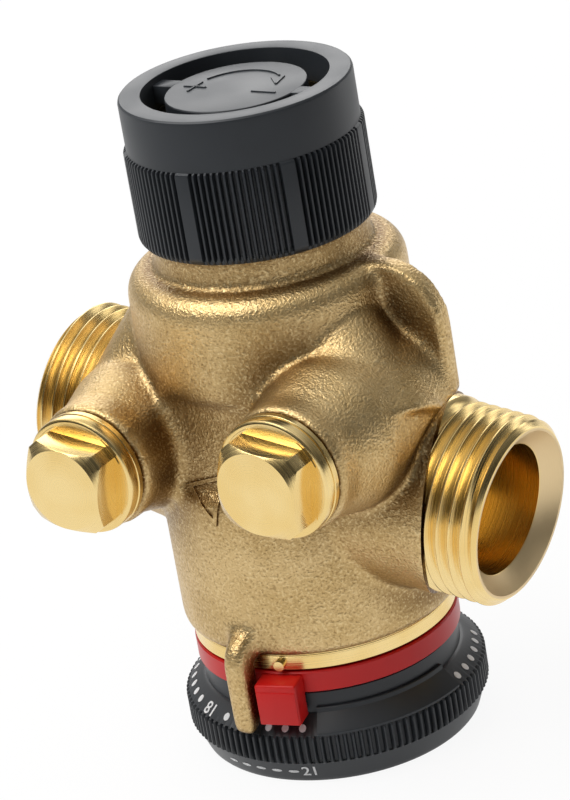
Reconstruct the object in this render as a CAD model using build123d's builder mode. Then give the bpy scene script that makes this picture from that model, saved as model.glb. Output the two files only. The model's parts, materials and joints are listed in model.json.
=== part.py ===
from build123d import *
import os
from math import cos, sin, radians

# A pressure-independent regulating valve: cast brass body, two threaded ports, two blanking
# plugs, a black protection cap over the valve insert and a setting wheel at the bottom.
# The spindle is +Z. The origin is the centre of the wheel's underside, where the valve rests.

# Edge broken on most turned pieces
edge_break = 0.3

# Heights of the setting wheel and the lock ring
wheel_bevel_h = 3.6
wheel_knurl_h = 4.2
wheel_cone_h = 2.1
wheel_hub_h = 3.3
ring_gap = 0.2
lock_ring_h = 3.2
collar_h = 2.3

# Setting wheel
wheel_r = 21.6
wheel_foot_r = 19.5
wheel_foot_edge = 0.7
wheel_cone_r = 18.8
wheel_hub_r = 18.3
wheel_wall = 1.6
wheel_web_t = 2.0
wheel_boss_r = 4.6
wheel_boss_h = 3.6
wheel_ridges = 120
wheel_groove_depth = 0.55
wheel_groove_share = 0.42
wheel_pull = 2.0
blank_sector_deg = 62.0
blank_sector_mid_deg = -33.0
blank_sector_t = 0.35

# Lock ring
lock_ring_r = 19.0
lock_tab_r = 22.3
lock_tab_w = 6.0
lock_tab_deg = -76.2
lock_tab_clear = 0.3

# Cast body
cup_r = 19.3
column_r = 19.8
column_top_z = 42.0
cup_low_z = 57.0
cup_edge_r = 1.6
shoulder_z = 72.0
shoulder_edge_r = 3.4
neck_r = 14.9
neck_fillet_r = 0.6
neck_top_z = 77.5
waist_flat_y = 17.6
waist_flat_z0 = 43.0
waist_flat_z1 = 57.0
waist_flat_w = 17.0
waist_flat_depth = 8.0
waist_corner_r = 3.0

# Pipe ports, ISO 228 G 3/4 male threads on one inclined axis
pipe_z = 41.5
pipe_tilt_deg = 8.7
port_reach = 35.5
left_port_extra = 0.9
port_thread_r = 26.44 / 2
port_pitch = 1.814
port_thread_depth = 1.162
port_crests = 5
port_crest_w = 0.35
port_thread_end = 1.3
port_flank_gap = 0.1
port_relief = 0.6
port_bore_r = 9.15
port_cone_r = 11.3
port_bore_end = 19.0
port_bore_tip = 1.5
port_shoulder = 25.4
port_shoulder_r = 13.3
port_shoulder_t = 2.5
port_mill_r = 15.8
horn_end_r = 13.7
horn_end_edge = 0.3
horn_root_r = 14.6
horn_root = 12.0

# Plug bosses and blanking plugs, G 1/4
right_plug_x = 16.5
right_plug_z = 52.2
left_plug_x = -15.8
left_plug_z = 48.9
boss_face_y = 25.4
boss_r = 9.0
boss_straight = 4.0
boss_flare_r = 10.8
boss_root_r = 11.8
boss_flare_y = 15.5
plug_thread_r = 13.157 / 2
plug_thread_l = 9.0
plug_hole_l = 12.0
plug_fit = 0.06
plug_disc_r = 8.5
plug_disc_t = 2.9
plug_square = 11.8
plug_square_h = 4.3
plug_face_r = 5.85
plug_corner_r = 7.4
plug_face_edge = 1.0
plug_groove = 0.35
plug_seal_r = 0.7
test_channel_r = 1.5
test_channel_out = 4.0

# Fin between the shoulder and the right port
fin_t = 3.2
fin_corner_x = 27.9
fin_corner_r = 9.0

# Gussets between the shoulder and the plug bosses
gusset_top_x = 11.5
gusset_top_y = 3.0
gusset_top_r = 7.0
gusset_low_x = 2.0
gusset_low_y = 9.0
gusset_low_r = 11.5

# Guard lug beside the lock tab
lug_t = 3.5
lug_r = 23.6
lug_top_z = 23.2
lug_deg = -90.5
lug_clear = 0.65

# Chambers inside the body
insert_bore_r = 12.6
insert_bore_z = 63.0
upper_chamber_r = 11.0
seat_bore_r = 9.0
seat_top_z = 53.0
ledge_z = 38.5
ledge_bore_r = 8.0
chamber_r = 16.3
chamber_top_z = 36.0
passage_r = 4.5
passage_low_in = 1.5
passage_low_up = 4.5
passage_high_in = 2.0
passage_high_down = 4.0
outlet_window_r = 5.6

# Valve insert with its M 30 x 1.5 neck
insert_fit = 0.05
insert_flange_r = 14.6
insert_flange_t = 1.5
actuator_thread_r = 15.0
actuator_thread_top_z = 87.5
spring_chamber_r = 6.0
spring_chamber_z = 70.0
insert_seal_z = 66.0
seal_r = 0.9
gland_hex = 11.0
gland_hex_h = 2.2
gland_thread_l = 7.4
gland_seal_r = 0.75
gland_seal_up = 3.4

# Stem, pin and disc
stem_travel = 2.8
pin_r = 1.5
pin_top_z = 92.6
pin_l = 12.6
stem_r = 2.0
stem_collar_r = 5.2
stem_collar_t = 1.0
slide_fit = 0.08
disc_r = 7.5
disc_t = 2.3
disc_edge_t = 0.8
disc_edge_w = 1.5
disc_seal_t = 1.4
disc_flange_r = 3.4
disc_flange_t = 1.0
stem_nut_r = 3.0
stem_nut_t = 1.6
spring_wire_r = 0.45
stem_spring_r = 4.3
stem_spring_turns = 5

# Seat sleeve and setting sleeve
seat_fit = 0.05
seat_r = 5.6
seat_lip_r = 6.6
seat_lip_h = 1.2
seat_window_h = 6.0
seat_window_w = 7.0
seat_window_up = 1.0
seat_seal_down = 3.0
preset_wall = 0.9
preset_floor_t = 1.2
preset_window_deg = 150.0
preset_gap = 0.4
preset_short = 2.0

# Spindle below the setting sleeve
spindle_r = 2.0
spindle_flat = 3.0
spindle_collar_r = 3.4
spindle_collar_t = 1.0
circlip_r = 3.4
circlip_t = 0.8
circlip_groove = 0.4
screw_head_r = 3.2
screw_head_t = 1.6
screw_r = 1.1
screw_l = 5.0
screw_recess_gap = 0.6
wheel_foot_clear = 0.3
stop_clear = 0.1

# Differential pressure regulator
piston_plate_r = 9.4
piston_plate_t = 1.6
piston_plate_z = 30.4
piston_travel = 2.5
piston_hub_r = 4.2
piston_stop_gap = 0.4
piston_step = 1.0
diaphragm_t = 0.8
diaphragm_bead_r = 14.4
diaphragm_fold_w = 2.6
cup_wall = 0.9
cup_floor_t = 1.2
cup_gap = 0.6
clamp_ring_t = 2.6
regulator_spring_r = 6.6
regulator_wire_r = 0.6
regulator_turns = 4

# Bottom insert
collar_r = 18.7
insert_neck_r = 16.4
insert_skirt_wall = 2.6
insert_floor_z = 21.0
insert_nose_r = 5.0
bottom_seal_up = 5.0
spindle_seal_down = 2.2
peg_r = 0.75
peg_out = 0.9

# Protection cap, screwed over the M 30 x 1.5 neck
cap_low_z = 76.0
cap_step_z = 89.2
cap_top_z = 96.3
cap_knurl_r = 16.4
cap_top_r = 15.95
cap_thread_fit = 0.06
cap_low_edge = 1.1
cap_thread_top_z = 90.6
cap_open_r = 12.8
cap_disc_r = 9.7
cap_disc_drop = 0.9
cap_disc_t = 2.6
cap_bridge_w = 2.6
cap_pusher_r = 3.2
cap_pusher_root_r = 3.6
cap_top_edge = 0.4
cap_shoulder_h = 1.2
cap_bridge_deg = 37.2
cap_stripes = 7
cap_grooves = 15
cap_groove_depth = 0.42
cap_groove_share = 0.45
cap_stripe_deg = -35.0

# Levels that follow from the heights above
knurl_z = wheel_bevel_h
cone_z = knurl_z + wheel_knurl_h
hub_z = cone_z + wheel_cone_h
wheel_top_z = hub_z + wheel_hub_h
lock_ring_z = wheel_top_z + ring_gap
collar_z = lock_ring_z + lock_ring_h + ring_gap
cast_z = collar_z + collar_h
stem_top_z = pin_top_z - pin_l
gland_low_z = actuator_thread_top_z - gland_thread_l
disc_seal_z = seat_top_z + stem_travel
disc_z = disc_seal_z + disc_seal_t
clamp_ring_z = chamber_top_z - diaphragm_t - clamp_ring_t
plate_top_z = piston_plate_z + piston_plate_t
wheel_web_z = wheel_foot_clear + screw_head_t + wheel_pull + stop_clear
boss_top_z = wheel_web_z + wheel_web_t + wheel_boss_h
circlip_z = boss_top_z + ring_gap
nose_z = circlip_z + circlip_t + stop_clear
spindle_collar_z = insert_floor_z + stop_clear
piston_hub_z = spindle_collar_z + spindle_collar_t + piston_travel + piston_stop_gap
preset_r = seat_r - slide_fit

# The inclined pipe frame: local x runs out of the right port, local y is up
pipe_dir = Vector(cos(radians(pipe_tilt_deg)), 0, -sin(radians(pipe_tilt_deg)))
pipe_origin = Vector(0, 0, pipe_z)
pipe_plane = Plane(origin=pipe_origin, x_dir=pipe_dir, z_dir=(0, -1, 0))
pipe_axis = Axis(pipe_origin, pipe_dir)


def turn(points, mode=Mode.ADD):
    """Turns an outline of (radius, height) points about the spindle."""
    with BuildSketch(Plane.XZ) as outline:
        with BuildLine():
            Polyline(*points, close=True)
        make_face()
    revolve(outline.sketch, axis=Axis.Z, mode=mode)


def turn_pipe(points, mode=Mode.ADD):
    """Turns an outline of (way out along the pipe, radius) points about the pipe axis."""
    with BuildSketch(pipe_plane) as outline:
        with BuildLine():
            Polyline(*points, close=True)
        make_face()
    revolve(outline.sketch, axis=pipe_axis, mode=mode)


def turn_boss(x, z, points, mode=Mode.ADD):
    """Turns an outline of (radius, way out to the front) points about a plug's axis."""
    side = Plane(origin=(x, 0, z), x_dir=(1, 0, 0), z_dir=(0, 0, 1))
    with BuildSketch(side) as outline:
        with BuildLine():
            Polyline(*[(r, -out) for r, out in points], close=True)
        make_face()
    revolve(outline.sketch, axis=Axis((x, 0, z), (0, -1, 0)), mode=mode)


def ring_seal(centre_r, z, wire_r):
    """A round-section seal ring about the spindle."""
    with BuildSketch(Plane.XZ) as section:
        with Locations((centre_r, z)):
            Circle(wire_r)
    revolve(section.sketch, axis=Axis.Z)


def coil(z0, z1, centre_r, wire_r, turns):
    """A compression spring between two seats."""
    height = z1 - z0 - 2 * wire_r
    with BuildLine() as path:
        Helix(pitch=height / turns, height=height, radius=centre_r, center=(0, 0, z0 + wire_r))
    with BuildSketch(Plane(origin=path.line @ 0, z_dir=path.line % 0)) as section:
        Circle(wire_r)
    sweep(section.sketch, path=path.line)


def port_reach_on(side):
    """How far the right (1) or left (-1) port reaches along the pipe."""
    return port_reach if side > 0 else port_reach + left_port_extra


def port_thread(side):
    """The crests, groove bottoms, end chamfer and machined shoulder of one port."""
    root_r = port_thread_r - port_thread_depth
    reach = port_reach_on(side)
    flank = (port_pitch - port_crest_w) / 2 - port_flank_gap
    points = [(port_shoulder - port_shoulder_t, 0), (reach, 0), (reach, root_r)]
    for k in range(port_crests):
        crest = reach - port_thread_end - k * port_pitch
        outer = crest + port_crest_w / 2
        inner = crest - port_crest_w / 2
        if k:
            points.append((outer + flank, root_r))
        points += [(outer, port_thread_r), (inner, port_thread_r), (inner - flank, root_r)]
    points += [(port_shoulder + port_relief, root_r), (port_shoulder, port_shoulder_r),
               (port_shoulder - port_shoulder_t, port_shoulder_r)]
    return [(side * out, r) for out, r in points]


# Cast body: column, pipe horns, plug bosses, gussets, fin and guard lug
with BuildPart() as body:
    # Column with its rounded foot, shoulder and neck
    with BuildSketch(Plane.XZ) as column:
        with BuildLine():
            foot = Line((0, cast_z), (column_r - cup_edge_r, cast_z))
            foot_edge = RadiusArc(foot @ 1, (column_r, cast_z + cup_edge_r), -cup_edge_r)
            wall = Polyline(foot_edge @ 1, (column_r, column_top_z), (cup_r, cup_low_z),
                            (cup_r, shoulder_z - shoulder_edge_r))
            top_edge = RadiusArc(wall @ 1, (cup_r - shoulder_edge_r, shoulder_z), -shoulder_edge_r)
            ledge = Line(top_edge @ 1, (neck_r + neck_fillet_r, shoulder_z))
            throat = RadiusArc(ledge @ 1, (neck_r, shoulder_z + neck_fillet_r), neck_fillet_r)
            Polyline(throat @ 1, (neck_r, neck_top_z), (0, neck_top_z), (0, cast_z))
        make_face()
    revolve(axis=Axis.Z)
    # Pipe horns
    for side in (1, -1):
        turn_pipe([(0, 0), (0, horn_root_r), (side * horn_root, horn_root_r),
                   (side * (port_shoulder - port_shoulder_t), horn_end_r),
                   (side * port_shoulder, horn_end_r - horn_end_edge), (side * port_shoulder, 0)])
    # Plug bosses with their flared roots
    for x, z in ((right_plug_x, right_plug_z), (left_plug_x, left_plug_z)):
        turn_boss(x, z, [(0, boss_face_y), (boss_r, boss_face_y), (boss_r, boss_face_y - boss_straight),
                         (boss_flare_r, boss_flare_y), (boss_root_r, 0), (0, 0)])
    # Gusset from each shoulder down to the plug boss and the horn
    for side, boss_x, boss_z in ((1, right_plug_x, right_plug_z), (-1, left_plug_x, left_plug_z)):
        high = Vector(side * gusset_top_x, -gusset_top_y, shoulder_z - gusset_top_r)
        low = Vector(boss_x + side * gusset_low_x, -gusset_low_y, boss_z - gusset_low_x)
        with BuildSketch(Plane(origin=high, z_dir=low - high)) as upper:
            Circle(gusset_top_r)
        with BuildSketch(Plane(origin=low, z_dir=low - high)) as lower:
            Circle(gusset_low_r)
        loft([upper.sketch, lower.sketch])
    # Flat at the waist between the plugs
    with BuildSketch(Plane.XZ.offset(waist_flat_y)) as flat:
        with Locations(((right_plug_x + left_plug_x) / 2, (waist_flat_z0 + waist_flat_z1) / 2)):
            RectangleRounded(waist_flat_w, waist_flat_z1 - waist_flat_z0, waist_corner_r)
    extrude(flat.sketch, amount=waist_flat_depth, mode=Mode.SUBTRACT)
    # Plug bosses again in front of the flat
    for x, z in ((right_plug_x, right_plug_z), (left_plug_x, left_plug_z)):
        turn_boss(x, z, [(0, boss_face_y), (boss_r, boss_face_y), (boss_r, 0), (0, 0)])
    # Fin in the plane of the pipe, from the shoulder down to the right port
    with BuildSketch(Plane.XZ.offset(-fin_t / 2)) as fin:
        with BuildLine():
            fin_edge = Polyline((fin_corner_x, shoulder_z - fin_corner_r), (fin_corner_x, pipe_z),
                                (insert_bore_r, pipe_z), (insert_bore_r, shoulder_z),
                                (fin_corner_x - fin_corner_r, shoulder_z))
            RadiusArc(fin_edge @ 1, fin_edge @ 0, fin_corner_r)
        make_face()
    extrude(fin.sketch, amount=fin_t)
    # Ports, with the casting milled back round their roots
    for side in (1, -1):
        turn_pipe([(side * port_shoulder, 0), (side * port_shoulder, port_mill_r),
                   (side * (port_reach + 2), port_mill_r), (side * (port_reach + 2), 0)], Mode.SUBTRACT)
        turn_pipe(port_thread(side))
    # Guard lug
    lug_plane = Plane(origin=(0, 0, 0), x_dir=(cos(radians(lug_deg)), sin(radians(lug_deg)), 0),
                      z_dir=(sin(radians(lug_deg)), -cos(radians(lug_deg)), 0))
    lug_in_r = lock_ring_r + lug_clear
    with BuildSketch(lug_plane.offset(-lug_t / 2)) as lug:
        with BuildLine():
            FilletPolyline((cup_r - 2.0, lug_top_z), (cup_r - 2.0, cast_z + 2.0), (lug_in_r, cast_z - 0.5),
                           (lug_in_r, hub_z + lug_clear), (wheel_r - 0.5, cone_z + lug_clear),
                           (lug_r, cone_z + lug_clear), (lug_r, lug_top_z),
                           radius=[0.5, 0.5, 0.6, 1.0, 0.5, 0.9, 4.0], close=True)
        make_face()
    extrude(lug.sketch, amount=lug_t)
    # Chambers about the spindle
    turn([(0, insert_bore_z), (insert_bore_r, insert_bore_z), (insert_bore_r, neck_top_z + 1),
          (0, neck_top_z + 1)], Mode.SUBTRACT)
    turn([(0, seat_top_z), (upper_chamber_r, seat_top_z), (upper_chamber_r, insert_bore_z),
          (0, insert_bore_z)], Mode.SUBTRACT)
    turn([(0, ledge_z), (seat_bore_r, ledge_z), (seat_bore_r, seat_top_z), (0, seat_top_z)], Mode.SUBTRACT)
    turn([(0, cast_z - 1), (chamber_r, cast_z - 1), (chamber_r, chamber_top_z),
          (ledge_bore_r, chamber_top_z), (ledge_bore_r, ledge_z), (0, ledge_z)], Mode.SUBTRACT)
    # Port bores with their mouth cones, blind at the inner end
    for side in (1, -1):
        mouth = port_reach_on(side)
        turn_pipe([(side * mouth, 0), (side * mouth, port_cone_r),
                   (side * (mouth - port_cone_r + port_bore_r), port_bore_r),
                   (side * port_bore_end, port_bore_r), (side * (port_bore_end - port_bore_tip), 0)],
                  Mode.SUBTRACT)
    # Outlet window into the right bore, inlet passage up from the left bore
    turn_pipe([(0, 0), (0, outlet_window_r), (port_bore_end + 1, outlet_window_r), (port_bore_end + 1, 0)],
              Mode.SUBTRACT)
    inlet_low = Vector(-port_bore_end - passage_low_in, 0, pipe_z + passage_low_up)
    inlet_high = Vector(-upper_chamber_r + passage_high_in, 0, insert_bore_z - passage_high_down)
    with BuildSketch(Plane(origin=inlet_low, z_dir=inlet_high - inlet_low)) as passage:
        Circle(passage_r)
    extrude(passage.sketch, amount=(inlet_high - inlet_low).length, mode=Mode.SUBTRACT)
    # Threaded plug holes with a test channel down to the port bore
    for x, z, side in ((right_plug_x, right_plug_z, 1), (left_plug_x, left_plug_z, -1)):
        turn_boss(x, z, [(0, boss_face_y), (plug_thread_r + plug_fit, boss_face_y),
                         (plug_thread_r + plug_fit, boss_face_y - plug_hole_l),
                         (0, boss_face_y - plug_hole_l)],
                  Mode.SUBTRACT)
        start = Vector(x, -boss_face_y + plug_hole_l - 0.5, z)
        end = Vector(side * (port_bore_end + test_channel_out), 0, pipe_z)
        with BuildSketch(Plane(origin=start, z_dir=end - start)) as channel:
            Circle(test_channel_r)
        extrude(channel.sketch, amount=(end - start).length, mode=Mode.SUBTRACT)
body.part.label = "body"

# Protection cap with knurled skirt, open top and bridged centre disc
knurl_step_deg = 360 / cap_stripes / (cap_grooves + 2)
with BuildPart() as cap:
    with BuildSketch(Plane.XY.offset(cap_low_z)) as skirt:
        Circle(cap_knurl_r)
        for stripe in range(cap_stripes):
            first_deg = cap_stripe_deg + stripe * 360 / cap_stripes + 1.5 * knurl_step_deg
            with PolarLocations(cap_knurl_r, cap_grooves, start_angle=first_deg,
                                angular_range=(cap_grooves - 1) * knurl_step_deg):
                Rectangle(2 * cap_groove_depth, cap_knurl_r * radians(knurl_step_deg) * cap_groove_share,
                          mode=Mode.SUBTRACT)
    extrude(skirt.sketch, amount=cap_step_z - cap_low_z)
    # Rounded lower edge
    turn([(cap_knurl_r - cap_low_edge, cap_low_z), (cap_knurl_r + 1, cap_low_z),
          (cap_knurl_r + 1, cap_low_z + cap_low_edge), (cap_knurl_r, cap_low_z + cap_low_edge),
          (cap_knurl_r - 0.35 * cap_low_edge, cap_low_z + 0.35 * cap_low_edge)], Mode.SUBTRACT)
    turn([(0, cap_step_z), (cap_top_r, cap_step_z), (cap_top_r, cap_top_z - cap_top_edge),
          (cap_top_r - cap_top_edge, cap_top_z), (0, cap_top_z)])
    turn([(0, cap_low_z), (actuator_thread_r + cap_thread_fit, cap_low_z),
          (actuator_thread_r + cap_thread_fit, cap_thread_top_z),
          (cap_open_r, cap_thread_top_z + cap_shoulder_h), (cap_open_r, cap_top_z), (0, cap_top_z)],
         Mode.SUBTRACT)
    # Centre disc, its pusher and the two bridges
    disc_top_z = cap_top_z - cap_disc_drop
    turn([(0, pin_top_z), (cap_pusher_r, pin_top_z), (cap_pusher_root_r, disc_top_z - cap_disc_t),
          (cap_disc_r, disc_top_z - cap_disc_t), (cap_disc_r, disc_top_z), (0, disc_top_z)])
    with BuildSketch(Plane.XY.offset(disc_top_z - cap_disc_t)) as bridges:
        with PolarLocations((cap_open_r + cap_disc_r) / 2, 2, start_angle=cap_bridge_deg):
            Rectangle(cap_open_r - cap_disc_r + 1.0, cap_bridge_w)
    extrude(bridges.sketch, amount=cap_disc_t)
cap.part.label = "cap"

# Valve insert, screwed into the neck
with BuildPart() as valve_insert:
    low_z = insert_bore_z + edge_break
    flange_top_z = neck_top_z + insert_flange_t
    body_r = insert_bore_r - insert_fit
    seal_inner_r = insert_bore_r - 2 * seal_r
    turn([(stem_r + slide_fit, low_z), (body_r, low_z),
          (body_r, insert_seal_z - seal_r), (seal_inner_r, insert_seal_z - seal_r),
          (seal_inner_r, insert_seal_z + seal_r), (body_r, insert_seal_z + seal_r),
          (body_r, neck_top_z), (insert_flange_r, neck_top_z), (insert_flange_r, flange_top_z),
          (actuator_thread_r, flange_top_z + 0.5), (actuator_thread_r, actuator_thread_top_z - 0.7),
          (actuator_thread_r - 0.7, actuator_thread_top_z),
          (spring_chamber_r, actuator_thread_top_z), (spring_chamber_r, spring_chamber_z),
          (stem_r + slide_fit, spring_chamber_z)])
valve_insert.part.label = "valve_insert"

with BuildPart() as insert_o_ring:
    ring_seal(insert_bore_r - seal_r, insert_seal_z, seal_r)
insert_o_ring.part.label = "insert_o_ring"

# Gland nut round the pin
gland_seal_z = gland_low_z + gland_seal_up
with BuildPart() as gland_nut:
    turn([(0, gland_low_z), (spring_chamber_r - insert_fit, gland_low_z),
          (spring_chamber_r - insert_fit, actuator_thread_top_z), (0, actuator_thread_top_z)])
    with BuildSketch(Plane.XY.offset(actuator_thread_top_z)) as hexagon:
        RegularPolygon(gland_hex / 2, 6, major_radius=False)
    extrude(hexagon.sketch, amount=gland_hex_h)
    turn([(0, gland_low_z), (pin_r + slide_fit, gland_low_z),
          (pin_r + slide_fit, gland_seal_z - gland_seal_r),
          (pin_r + slide_fit + 2 * gland_seal_r, gland_seal_z - gland_seal_r),
          (pin_r + slide_fit + 2 * gland_seal_r, gland_seal_z + gland_seal_r),
          (pin_r + slide_fit, gland_seal_z + gland_seal_r),
          (pin_r + slide_fit, actuator_thread_top_z + gland_hex_h), (0, actuator_thread_top_z + gland_hex_h)],
         Mode.SUBTRACT)
gland_nut.part.label = "gland_nut"

with BuildPart() as gland_o_ring:
    ring_seal(pin_r + slide_fit + gland_seal_r, gland_seal_z, gland_seal_r)
gland_o_ring.part.label = "gland_o_ring"

# Pin that the cap or an actuator presses
with BuildPart() as stem_pin:
    turn([(0, stem_top_z), (pin_r, stem_top_z), (pin_r, pin_top_z - edge_break),
          (pin_r - edge_break, pin_top_z), (0, pin_top_z)])
stem_pin.part.label = "stem_pin"

# Valve stem with spring collar and disc flange
flange_z = disc_z + disc_t
stem_low_z = disc_seal_z - stem_nut_t - 0.4
collar_low_z = stem_top_z - stem_collar_t
with BuildPart() as valve_stem:
    turn([(0, stem_low_z), (stem_r - edge_break, stem_low_z), (stem_r, stem_low_z + edge_break),
          (stem_r, flange_z), (disc_flange_r, flange_z), (disc_flange_r, flange_z + disc_flange_t),
          (stem_r, flange_z + disc_flange_t), (stem_r, collar_low_z), (stem_collar_r, collar_low_z),
          (stem_collar_r, stem_top_z), (0, stem_top_z)])
valve_stem.part.label = "valve_stem"

with BuildPart() as stem_spring:
    coil(spring_chamber_z, collar_low_z, stem_spring_r, spring_wire_r, stem_spring_turns)
stem_spring.part.label = "stem_spring"

# Disc, its seal and the nut that holds them
with BuildPart() as valve_disc:
    turn([(stem_r, disc_z), (disc_r, disc_z), (disc_r, disc_z + disc_t - disc_edge_t),
          (disc_r - disc_edge_w, disc_z + disc_t), (stem_r, disc_z + disc_t)])
valve_disc.part.label = "valve_disc"

with BuildPart() as disc_seal:
    turn([(stem_r, disc_seal_z), (disc_r - 0.2, disc_seal_z), (disc_r - 0.2, disc_z), (stem_r, disc_z)])
disc_seal.part.label = "disc_seal"

with BuildPart() as stem_nut:
    with BuildSketch(Plane.XY.offset(disc_seal_z - stem_nut_t)) as nut_face:
        RegularPolygon(stem_nut_r, 6)
        Circle(stem_r, mode=Mode.SUBTRACT)
    extrude(nut_face.sketch, amount=stem_nut_t)
stem_nut.part.label = "stem_nut"

# Seat sleeve in the middle of the body
seat_seal_z = seat_top_z - seat_seal_down
with BuildPart() as seat_sleeve:
    outer_r = seat_bore_r - seat_fit
    groove_r = seat_bore_r - 2 * plug_seal_r
    lip_low_z = seat_top_z - seat_lip_h
    turn([(seat_r, ledge_z), (outer_r, ledge_z), (outer_r, seat_seal_z - plug_seal_r),
          (groove_r, seat_seal_z - plug_seal_r), (groove_r, seat_seal_z + plug_seal_r),
          (outer_r, seat_seal_z + plug_seal_r), (outer_r, lip_low_z), (seat_lip_r + 0.6, lip_low_z),
          (seat_lip_r, seat_top_z - seat_fit), (seat_r, seat_top_z - seat_fit)])
    with BuildSketch(Plane.XY.offset(pipe_z - seat_window_h / 2 + seat_window_up)) as window:
        with Locations((outer_r, 0)):
            Rectangle(2 * outer_r, seat_window_w)
    extrude(window.sketch, amount=seat_window_h, mode=Mode.SUBTRACT)
seat_sleeve.part.label = "seat_sleeve"

with BuildPart() as seat_o_ring:
    ring_seal(seat_bore_r - plug_seal_r, seat_seal_z, plug_seal_r)
seat_o_ring.part.label = "seat_o_ring"

# Setting sleeve with its window, turned by the spindle
sleeve_z = ledge_z + preset_gap
sleeve_top_z = seat_top_z - preset_short
with BuildPart() as preset_sleeve:
    inner_r = preset_r - preset_wall
    turn([(spindle_r, sleeve_z), (preset_r, sleeve_z), (preset_r, sleeve_top_z), (inner_r, sleeve_top_z),
          (inner_r, sleeve_z + preset_floor_t), (spindle_r, sleeve_z + preset_floor_t)])
    with BuildSketch(Plane.XY.offset(pipe_z - seat_window_h / 2 + seat_window_up)) as slot:
        with BuildLine():
            start = PolarLine((0, 0), 2 * preset_r, 0)
            CenterArc((0, 0), 2 * preset_r, 0, preset_window_deg)
            PolarLine((0, 0), 2 * preset_r, preset_window_deg)
        make_face()
        Circle(inner_r - 0.5, mode=Mode.SUBTRACT)
    extrude(slot.sketch, amount=seat_window_h, mode=Mode.SUBTRACT)
preset_sleeve.part.label = "preset_sleeve"

# Setting spindle from the wheel up to the setting sleeve
spindle_low_z = wheel_foot_clear + screw_head_t
with BuildPart() as preset_spindle:
    turn([(0, spindle_low_z), (spindle_r, spindle_low_z), (spindle_r, circlip_z),
          (spindle_r - circlip_groove, circlip_z), (spindle_r - circlip_groove, circlip_z + circlip_t),
          (spindle_r, circlip_z + circlip_t), (spindle_r, spindle_collar_z),
          (spindle_collar_r, spindle_collar_z), (spindle_collar_r, spindle_collar_z + spindle_collar_t),
          (spindle_r, spindle_collar_z + spindle_collar_t), (spindle_r, sleeve_z + preset_floor_t + 0.8),
          (0, sleeve_z + preset_floor_t + 0.8)])
    # Two flats that drive the wheel, and the screw hole
    with BuildSketch(Plane.XY.offset(spindle_low_z)) as flats:
        Circle(spindle_r + 1)
        Rectangle(2 * spindle_r + 3, spindle_flat, mode=Mode.SUBTRACT)
    extrude(flats.sketch, amount=circlip_z - spindle_low_z - stop_clear, mode=Mode.SUBTRACT)
    with BuildSketch(Plane.XY.offset(spindle_low_z)) as screw_hole:
        Circle(screw_r)
    extrude(screw_hole.sketch, amount=screw_l + 0.5, mode=Mode.SUBTRACT)
preset_spindle.part.label = "preset_spindle"

with BuildPart() as spindle_circlip:
    with BuildSketch(Plane.XY.offset(circlip_z)) as clip:
        Circle(circlip_r)
        Circle(spindle_r - circlip_groove, mode=Mode.SUBTRACT)
        with Locations((circlip_r, 0)):
            Rectangle(2 * circlip_r, 2.2, mode=Mode.SUBTRACT)
    extrude(clip.sketch, amount=circlip_t)
spindle_circlip.part.label = "spindle_circlip"

with BuildPart() as handwheel_screw:
    turn([(0, wheel_foot_clear), (screw_head_r, wheel_foot_clear), (screw_head_r, spindle_low_z),
          (screw_r, spindle_low_z), (screw_r, spindle_low_z + screw_l), (0, spindle_low_z + screw_l)])
    with BuildSketch(Plane.XY.offset(wheel_foot_clear)) as drive:
        RegularPolygon(1.25, 6, major_radius=False)
    extrude(drive.sketch, amount=1.0, mode=Mode.SUBTRACT)
handwheel_screw.part.label = "handwheel_screw"

# Setting wheel: bevelled foot, knurled rim, scale cone and hub
with BuildPart() as handwheel:
    turn([(0, 0), (wheel_foot_r, 0), (wheel_foot_r + wheel_foot_edge * 0.6, wheel_foot_edge),
          (wheel_r - 0.4, knurl_z), (wheel_r - 2.0, knurl_z), (wheel_r - 2.0, cone_z),
          (wheel_r - 0.3, cone_z), (wheel_cone_r, hub_z), (wheel_hub_r, hub_z),
          (wheel_hub_r, wheel_top_z), (0, wheel_top_z)])
    ridge_step = wheel_r * radians(360 / wheel_ridges)
    with BuildSketch(Plane.XY.offset(knurl_z)) as knurl:
        Circle(wheel_r)
        with PolarLocations(wheel_r, wheel_ridges):
            Rectangle(2 * wheel_groove_depth, ridge_step * wheel_groove_share, mode=Mode.SUBTRACT)
    extrude(knurl.sketch, amount=wheel_knurl_h)
    # Smooth sector of the cone without marks
    sector_start = Plane.XZ.rotated((0, 0, blank_sector_mid_deg - blank_sector_deg / 2))
    with BuildSketch(sector_start) as sector:
        with BuildLine():
            Polyline((wheel_hub_r - 1, hub_z - 1), (wheel_hub_r - 1, hub_z + blank_sector_t),
                     (wheel_cone_r, hub_z + blank_sector_t), (wheel_r - 0.3, cone_z + blank_sector_t),
                     (wheel_r - 0.3, cone_z - 0.5), close=True)
        make_face()
    revolve(sector.sketch, axis=Axis.Z, revolution_arc=blank_sector_deg)
    # Hollow above the web, with the driven boss left standing
    web_top_z = wheel_web_z + wheel_web_t
    inner_r = wheel_hub_r - wheel_wall
    turn([(wheel_boss_r, web_top_z), (inner_r, web_top_z), (inner_r, wheel_top_z), (0, wheel_top_z),
          (0, boss_top_z), (wheel_boss_r, boss_top_z)], Mode.SUBTRACT)
    # Screw recess and driven hole
    recess_r = screw_head_r + screw_recess_gap
    turn([(0, 0), (recess_r, 0), (recess_r, wheel_web_z), (0, wheel_web_z)], Mode.SUBTRACT)
    drive_side = spindle_r + spindle_flat / 2 + slide_fit
    with BuildSketch(Plane.XY.offset(wheel_web_z)) as drive_hole:
        Circle(spindle_r + slide_fit)
        with Locations((0, drive_side), (0, -drive_side)):
            Rectangle(4 * spindle_r, 2 * spindle_r, mode=Mode.SUBTRACT)
    extrude(drive_hole.sketch, amount=wheel_web_t + wheel_boss_h, mode=Mode.SUBTRACT)
handwheel.part.label = "handwheel"

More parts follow.
